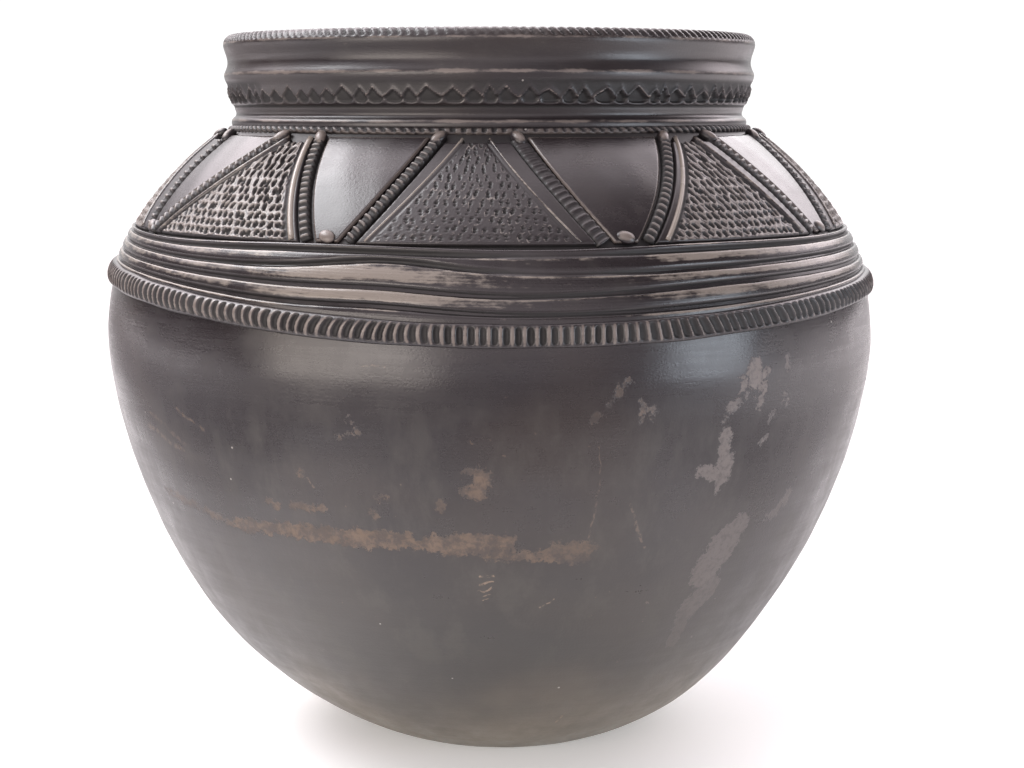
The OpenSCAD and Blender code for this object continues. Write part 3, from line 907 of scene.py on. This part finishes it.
def pellet(turn, z, half_width, half_length, height, lean):
    """An egg of clay half sunk in the wall: an ellipsoid with its long axis leaning by lean degrees."""
    centre = on_pot(turn, z, 0.2)
    outward = on_pot(turn, z, 1.2) - centre
    up = on_pot(turn, z + 1.0, 0.2) - centre
    up /= np.linalg.norm(up)
    side = np.cross(up, outward)
    lean = math.radians(lean)
    long_axis = up * math.cos(lean) + side * math.sin(lean)
    short_axis = side * math.cos(lean) - up * math.sin(lean)
    latitude = np.radians(np.linspace(-84, 84, 13))[:, None, None]
    longitude = np.radians(np.arange(20) * 18)[None, :, None]
    points = (centre + outward * height * np.sin(latitude)
              + short_axis * half_width * np.cos(latitude) * np.cos(longitude)
              + long_axis * half_length * np.cos(latitude) * np.sin(longitude))
    # Painted highlight on the pellet's crown, stronger round the triangle left of the front, and painted
    # shade at its foot
    relief = 1.2 * np.sin(latitude) - 0.35 + 0.5 * bell(turn, -33, 14)
    return points, np.broadcast_to(relief[..., 0], points.shape[:2])


pellets = []
for k, triangle in enumerate(triangles):
    for line, lean in ((0, 32), (3, -28)):
        top = line_turn(triangle, line, strap_top_height)
        pellets.append(pellet(top, strap_top_height + 0.2, *top_pellet, lean))
    feet = line_turn(triangle, 3, strap_foot_height) + line_turn(following(k), 0, strap_foot_height)
    pellets.append(pellet(feet / 2, strap_foot_height + 1.6, *foot_pellet, 20))
clay("pellets", pellets, burnished("thumbed_pellet", 0.34, rubbed_highlight_share=0.8),
     rows_close=False, columns_close=True)


# The ribs. Four or five broad flat ribs drawn round the pot with a curved edge, free hand, so that they sag
# towards the front and run together in places. Their crowns get painted highlights, partly rubbing wear.
rib_columns = 960
rib_rows = 64
rib_rise = 1.7
groove_depth = 1.7
rib_edge = 0.3
rib_crown = 0.7
ledge_height = 266.0
cordon_height = 234.2


def cordon_middle(turn):
    """Height of the middle of the big cordon, which sags in front and behind and is lower at the right."""
    a = np.radians(turn)
    return cordon_height - 6.7 * np.cos(2 * a) - 2.5 * np.sin(a)


def groove(share, centre, width):
    """One drawn groove: a smooth hollow round its centre line, given as a share of the height of the band,
    and the sharp burr that the tool left along its lower side."""
    hollow = np.exp(-np.abs((share - centre) / width) ** 2.6)
    return hollow, bell(share, centre - 1.35 * width, 0.016)


def ribbing(share, turn):
    """Depth cut into the band of ribs at a share of its height, its burrs, its fine drawn lines, and how
    far up its own rib each point lies. The four wandering grooves fade a little right of the front."""
    front = bell(turn, -14, 11)
    faded = 0.65 * bell(turn, 9, 13)
    lines = (0.13 + 0.02 * hand_noise(turn, 41, 5, 5) + 0.06 * front,
             0.38 + 0.03 * hand_noise(turn, 42, 5, 6) + 0.06 * front,
             0.64 + 0.03 * hand_noise(turn, 43, 5, 6) + 0.12 * front,
             0.87 + 0.015 * hand_noise(turn, 44, 5, 5))
    depth, burr = np.zeros((2,) + np.broadcast(share, turn).shape)
    below, above = np.zeros(depth.shape), np.ones(depth.shape)
    for k, line in enumerate(lines):
        below = np.where(share > line, line, below)
        above = np.where((share <= line) & (above == 1), line, above)
        cut, edge = groove(share, line, 0.034)
        depth = depth + cut * (1 - faded * (0.7 if k < 2 else 1.3))
        burr = burr + edge * (0.55 + 0.45 * hand_noise(turn, 60 + k, 8, 50))
    fine = 0.08 * np.sin(share * 150 + 3 * hand_noise(turn, 46, 5, 9))
    fine = fine * (0.5 + 0.5 * hand_noise(turn, 47, 5, 9))
    return depth, burr, fine, np.clip((share - below) / (above - below), 0, 1)


rib_turn = full_turn(rib_columns)
rib_low = cordon_middle(rib_turn) + 3.6
rib_high = ledge_height + 0.5 * hand_noise(rib_turn, 45, 5, 8)
share = np.linspace(0, 1, rib_rows)[:, None]
rib_z = rib_low + (rib_high - rib_low) * share
band_share = (share * (rib_high - rib_low) - 0.9) / (rib_high - rib_low - 0.9)
cut, burr, fine, across_rib = ribbing(band_share, rib_turn)
ledge = (rib_rise + carved_depth) * smooth_step(0.93, 1.0, share) ** 1.6
rib_bulge = 4 * across_rib * (1 - across_rib) * (1 - 0.8 * bell(rib_turn, 9, 13))
left_flank = between(rib_turn, -120, -90, -46, -28)
groove_here = groove_depth * (1 - 0.3 * left_flank)
rib_out = rib_rise - rib_crown + rib_crown * rib_bulge - groove_here * cut + rib_edge * burr + fine - ledge
rib_under = on_pot(rib_turn, rib_z[[-1, rib_rows // 2, 0]], bedded)
rib_points = np.concatenate([on_pot(rib_turn, rib_z, rib_out), rib_under])
# Painted highlights on the ribs, partly rubbing wear: golden left of the middle, and silvery on their
# crowns at both sides
golden_highlight = 0.85 * bell(rib_turn, -17, 15) * between(band_share, 0.1, 0.2, 0.62, 0.75)
golden_highlight = golden_highlight * smooth_step(0.15, 0.4, across_rib)
silvery_highlight = np.maximum(between(rib_turn, 16, 30, 62, 76), 0.6 * between(rib_turn, -120, -90, -34, -24))
silvery_highlight = 0.85 * silvery_highlight * between(across_rib, 0.3, 0.55, 0.85, 0.97)
silvery_highlight = silvery_highlight * (0.75 + 0.35 * hand_noise(rib_turn + 40 * band_share, 48, 9, 60))
# Painted highlight on the burrs, and painted shade in the grooves and at the top of the band under the
# ledge
rib_relief = np.maximum(golden_highlight, silvery_highlight) - 1.7 * (1 - 0.65 * left_flank) * cut + 0.8 * burr + 2 * fine
rib_relief = rib_relief - 1.6 * smooth_step(0.95, 1.0, share)
rib_relief = np.concatenate([rib_relief, np.full((3, rib_columns), shaded_hollow)])
clay("ribs", [(rib_points, rib_relief)],
     burnished("drawn_rib", 0.27, rubbed_highlight_share=0.75, brushed=0.5, shine=pale_rubbed_highlight), columns_close=True)


# The big cordon. A thick roll of clay pressed round the shoulder where the ribs end, and notched all
# round with the side of a finger or a stick, so that thin sharp crests stand between the scoops.
cordon_columns = 2214
cordon_rows = 24
cordon_half_width = 5.4
cordon_rise = 4.3
cordon_reach = 201.6
scoops = 246
scoop_depth = 2.0
cordon_turn = full_turn(cordon_columns)
around = np.radians(np.linspace(-100, 100, cordon_rows))[:, None]
bead_z = cordon_half_width * np.sin(around) * (1 + 0.05 * hand_noise(cordon_turn, 51, 8, 30))
cordon_z = cordon_middle(cordon_turn) + bead_z
lean = 0.09 * between(cordon_turn, -34, -24, -16, -8) - 0.13 * between(cordon_turn, 14, 34, 70, 100)
lean = lean - 0.06 * (1 - smooth_step(-50, -38, cordon_turn))
bow = 0.012 * (1 - smooth_step(-12, -2, cordon_turn)) * bead_z ** 2
place = cordon_turn * scoops / 360 - lean * bead_z - bow + 0.3 * hand_noise(cordon_turn, 52, 10, 60)
depth_here = 0.78 + 0.22 * hand_noise(cordon_turn, 53, 9, 40)
from_middle = tooth(place)
high_up = np.abs(bead_z / cordon_half_width)
slit = 0.92 - 0.3 * between(cordon_turn, -100, -60, 14, 34)
scoop = np.clip(1 - (from_middle / slit) ** 2.6 - (high_up / 0.74) ** 5, 0, 1) ** 0.7 * depth_here
bead = np.clip(np.cos(around), 0, 1) ** 0.5
room = cordon_reach - wall_radius(cordon_z) - unevenness(cordon_turn, cordon_z)
crest = np.minimum(cordon_rise, room) * bead - 1.5 * (1 - bead)
scoop = np.minimum(scoop, np.maximum(crest - 0.2, 0) / scoop_depth)
cordon_out = crest - scoop_depth * scoop * smooth_step(0.0, 0.4, bead)
cordon_under = on_pot(cordon_turn, cordon_middle(cordon_turn) + np.array([[3.5], [-3.5]]), bedded)
cordon_points = np.concatenate([on_pot(cordon_turn, cordon_z, cordon_out), cordon_under])
thin_crest = smooth_step(slit - 0.2, 0.97, from_middle) * (1 - high_up ** 4)
# Painted highlight on the thin crests, and painted shade in the scoops and along the foot of the roll
cordon_relief = (0.8 * thin_crest - 1.7 * scoop) * smooth_step(0.1, 0.6, bead) - 0.4 * (1 - bead)
cordon_relief = np.concatenate([cordon_relief, np.full((2, cordon_columns), shaded_hollow)])
clay("notched_cordon", [(cordon_points, cordon_relief)],
     burnished("notched_cordon", 0.34, rubbed_highlight_share=0.8), columns_close=True)


# The floor and the light. White paper starts under the pot and widens to the back, on a grey floor. It is
# dull where the sides of the pot mirror it. A small low window is close at each side in front, a larger
# one high at the left, and the dim room's far wall is white.
floor_reach = 6.0
paper_glow = 0.3
white_paper = (0.92, 0.92, 0.915, 1)
dull_paper = (0.61, 0.61, 0.605, 1)
grey_floor = (0.22, 0.21, 0.21, 1)
corners = [(-floor_reach, -floor_reach, 0), (floor_reach, -floor_reach, 0), (floor_reach, floor_reach, 0),
           (-floor_reach, floor_reach, 0)]
floor_mesh = bpy.data.meshes.new("floor")
floor_mesh.from_pydata(corners, [], [(0, 1, 2, 3)])
floor_paper = bpy.data.materials.new("floor_paper")
floor_paper.use_nodes = True
paper_tree = floor_paper.node_tree
paper = paper_tree.nodes["Principled BSDF"]
paper_place = add(paper_tree, "ShaderNodeTexCoord").outputs["Object"]
paper_sides = add(paper_tree, "ShaderNodeSeparateXYZ", {"Vector": paper_place}).outputs
to_side = maths(paper_tree, "ABSOLUTE", paper_sides["X"])
# The paper's edges run out by 0.42 m for each metre back. The floor far past them is white again, sooner
# at the right, and the paper itself is dull from the pot backwards and sideways.
past_paper = maths(paper_tree, "MULTIPLY_ADD", paper_sides["Y"], -0.42, to_side)
past_right = maths(paper_tree, "MULTIPLY_ADD", paper_sides["X"], 0.35, past_paper)
beside_paper = maths(paper_tree, "MULTIPLY", fade(paper_tree, past_paper, 0.32, 0.6),
                     fade(paper_tree, past_right, 0.5, 1.1, 1, 0))
off_paper = maths(paper_tree, "MAXIMUM", fade(paper_tree, paper_sides["Y"], -0.12, -0.6), beside_paper)
behind = maths(paper_tree, "MULTIPLY_ADD", to_side, 1.2, paper_sides["Y"])
paper_colour = blend_colour(paper_tree, fade(paper_tree, behind, 0.05, 0.35), white_paper, dull_paper)
paper_colour = blend_colour(paper_tree, fade(paper_tree, past_paper, 0.6, 1.2), paper_colour, white_paper)
paper_colour = blend_colour(paper_tree, off_paper, paper_colour, grey_floor)
for socket in ("Base Color", "Emission Color"):
    paper_tree.links.new(paper_colour, paper.inputs[socket])
# The paper glows a little, a painted light that lifts the pot's shadow on it
paper.inputs["Emission Strength"].default_value = paper_glow
paper.inputs["Roughness"].default_value = 0.8
floor_mesh.materials.append(floor_paper)
floor = bpy.data.objects.new("floor", floor_mesh)
bpy.context.scene.collection.objects.link(floor)


def soft_light(name, place, target, width, height, power, colour):
    """A rectangular soft light at a place, facing a target, both in metres."""
    light = bpy.data.lights.new(name, "AREA")
    light.shape = "RECTANGLE"
    light.size, light.size_y = width, height
    light.energy = power
    light.color = colour
    lamp = bpy.data.objects.new(name, light)
    bpy.context.scene.collection.objects.link(lamp)
    away = np.array(place) - np.array(target)
    lamp.location = place
    lamp.rotation_euler = (math.acos(away[2] / np.linalg.norm(away)), 0, math.atan2(away[0], -away[1]))


soft_light("left_window", (-0.79, -0.97, 0.24), (0, 0, 0.2), 1.05, 0.46, 5.6, (1.0, 0.90, 0.82))
soft_light("right_window", (1.09, -0.61, 0.24), (0, 0, 0.2), 0.54, 0.46, 3.5, (0.82, 0.90, 1.0))
soft_light("roof_light", (-1.1, 0.1, 1.6), (0, 0, 0.3), 1.25, 0.85, 21, (0.96, 0.98, 1.0))

# The room's brightness by direction: dark all round, the far wall behind the pot, the space high above it,
# the wall behind the camera, and the ceiling, which is brighter towards the left.
dark_room = 0.15
far_wall = 1.1
above_wall = 4.0
near_wall = 0.95
ceiling = 1.2
wall_colour = (1.0, 1.0, 1.0, 1)
dark_colour = (1.0, 0.90, 0.94, 1)
world = bpy.data.worlds.new("white_room")
bpy.context.scene.world = world
world.use_nodes = True
sky = world.node_tree
sight = add(sky, "ShaderNodeTexCoord").outputs["Generated"]
direction = add(sky, "ShaderNodeSeparateXYZ", {"Vector": sight}).outputs
to_far_wall = fade(sky, direction["Y"], 0.65, 0.97)
raised = maths(sky, "MULTIPLY_ADD", maths(sky, "MAXIMUM", direction["X"], 0.0), 0.24, direction["Z"])
over_wall = maths(sky, "MULTIPLY", fade(sky, raised, 0.28, 0.52),
                  fade(sky, direction["Y"], 0.0, 0.65, 0, above_wall))
ceiling_left = maths(sky, "MULTIPLY_ADD", direction["X"], -0.4, direction["Z"])
room_strength = maths(sky, "MULTIPLY_ADD", to_far_wall, far_wall - dark_room,
                      maths(sky, "ADD", over_wall, dark_room))
room_strength = maths(sky, "ADD", room_strength, fade(sky, direction["Y"], -0.55, -0.95, 0, near_wall))
room_strength = maths(sky, "ADD", room_strength, fade(sky, ceiling_left, 0.64, 0.98, 0, ceiling))
room_paint = blend_colour(sky, to_far_wall, dark_colour, wall_colour)
sky.links.new(room_strength, sky.nodes["Background"].inputs["Strength"])
sky.links.new(room_paint, sky.nodes["Background"].inputs["Color"])


# The camera. The photograph looks down on the pot by about 8 degrees from a little over a metre away,
# with the pot's middle a little left of the picture's. Its colours are taken as they are, with no film
# curve.
bpy.context.scene.view_settings.view_transform = "Standard"
camera_away = 1.061
camera_height = 0.3265
camera_pitch = 7.91
focal_pixels = 2000
picture_width = 1024
pot_left_of_middle = 22.5
sensor = 36.0
camera_data = bpy.data.cameras.new("camera")
camera_data.sensor_width = sensor
camera_data.lens = sensor * focal_pixels / picture_width
camera_data.shift_x = pot_left_of_middle / picture_width
camera = bpy.data.objects.new("camera", camera_data)
camera.location = (0, -camera_away, camera_height)
camera.rotation_euler = (math.radians(90 - camera_pitch), 0, 0)
bpy.context.scene.collection.objects.link(camera)
bpy.context.scene.camera = camera
